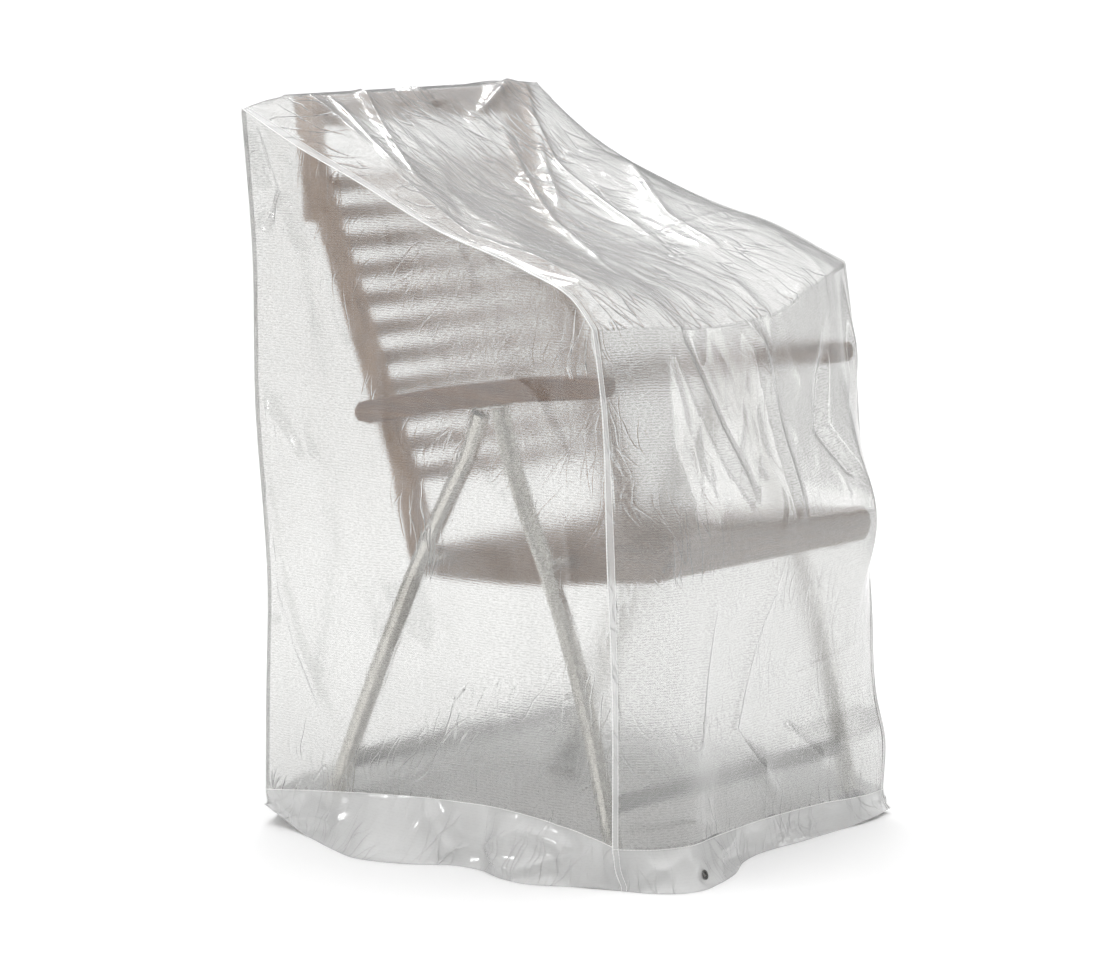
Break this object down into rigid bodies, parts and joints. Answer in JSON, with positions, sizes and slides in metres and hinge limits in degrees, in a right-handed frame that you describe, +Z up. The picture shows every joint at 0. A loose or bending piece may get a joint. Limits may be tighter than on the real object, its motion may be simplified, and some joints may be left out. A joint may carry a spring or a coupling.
{
  "type": "folding chair cover on a folding chair",
  "caption": "Clear woven film cover, sewn from a wrap strip and side panels, draped over a high-backed slatted folding armchair with curved steel legs.",
  "frame": {"origin": "middle of the part's box, on the floor", "axes": "+X across the chair towards its right arm as seen from in front, +Y towards its back, +Z up"},
  "size_m": [0.7436, 0.7968, 1.0579],
  "materials": {
    "left_stile": "oiled teak",
    "right_stile": "oiled teak",
    "top_rail": "oiled teak",
    "back_slat_01": "oiled teak",
    "back_slat_02": "oiled teak",
    "back_slat_03": "oiled teak",
    "back_slat_04": "oiled teak",
    "back_slat_05": "oiled teak",
    "back_slat_06": "oiled teak",
    "back_slat_07": "oiled teak",
    "back_slat_08": "oiled teak",
    "back_slat_09": "oiled teak",
    "back_slat_10": "oiled teak",
    "back_slat_11": "oiled teak",
    "left_seat_rail": "oiled teak",
    "right_seat_rail": "oiled teak",
    "front_seat_rail": "oiled teak",
    "seat_slat_1": "oiled teak",
    "seat_slat_2": "oiled teak",
    "seat_slat_3": "oiled teak",
    "seat_slat_4": "oiled teak",
    "seat_slat_5": "oiled teak",
    "seat_slat_6": "oiled teak",
    "left_arm": "oiled teak",
    "left_arm_spacer": "brushed",
    "left_arm_bracket": "brushed",
    "right_arm": "oiled teak",
    "right_arm_spacer": "brushed",
    "right_arm_bracket": "brushed",
    "left_front_leg": "brushed",
    "left_front_leg_bolt": "brushed",
    "left_front_foot": "moulded",
    "left_rear_leg": "brushed",
    "left_rear_leg_bolt": "brushed",
    "left_rear_foot": "moulded",
    "right_front_leg": "brushed",
    "right_front_leg_bolt": "brushed",
    "right_front_foot": "moulded",
    "right_rear_leg": "brushed",
    "right_rear_leg_bolt": "brushed",
    "right_rear_foot": "moulded",
    "front_cross_tube": "brushed",
    "rear_cross_tube": "brushed",
    "wrap_strip": "clear woven tape film with a glossy coating",
    "left_panel": "clear woven tape film with a glossy coating",
    "right_panel": "clear woven tape film with a glossy coating",
    "front_hem": "clear woven tape film with a glossy coating",
    "eyelet": "plain nickel grey"
  },
  "bodies": {
    "root": {"left_stile": "left_stile", "right_stile": "right_stile", "top_rail": "top_rail", "back_slat_01": "back_slat_01", "back_slat_02": "back_slat_02", "back_slat_03": "back_slat_03", "back_slat_04": "back_slat_04", "back_slat_05": "back_slat_05", "back_slat_06": "back_slat_06", "back_slat_07": "back_slat_07", "back_slat_08": "back_slat_08", "back_slat_09": "back_slat_09", "back_slat_10": "back_slat_10", "back_slat_11": "back_slat_11", "left_seat_rail": "left_seat_rail", "right_seat_rail": "right_seat_rail", "front_seat_rail": "front_seat_rail", "seat_slat_1": "seat_slat_1", "seat_slat_2": "seat_slat_2", "seat_slat_3": "seat_slat_3", "seat_slat_4": "seat_slat_4", "seat_slat_5": "seat_slat_5", "seat_slat_6": "seat_slat_6", "left_arm": "left_arm", "left_arm_spacer": "left_arm_spacer", "left_arm_bracket": "left_arm_bracket", "right_arm": "right_arm", "right_arm_spacer": "right_arm_spacer", "right_arm_bracket": "right_arm_bracket", "left_front_leg": "left_front_leg", "left_front_leg_bolt": "left_front_leg_bolt", "left_front_foot": "left_front_foot", "left_rear_leg": "left_rear_leg", "left_rear_leg_bolt": "left_rear_leg_bolt", "left_rear_foot": "left_rear_foot", "right_front_leg": "right_front_leg", "right_front_leg_bolt": "right_front_leg_bolt", "right_front_foot": "right_front_foot", "right_rear_leg": "right_rear_leg", "right_rear_leg_bolt": "right_rear_leg_bolt", "right_rear_foot": "right_rear_foot", "front_cross_tube": "front_cross_tube", "rear_cross_tube": "rear_cross_tube", "wrap_strip": "wrap_strip", "left_panel": "left_panel", "right_panel": "right_panel", "front_hem": "front_hem", "eyelet": "eyelet"}
  },
  "joints": []
}
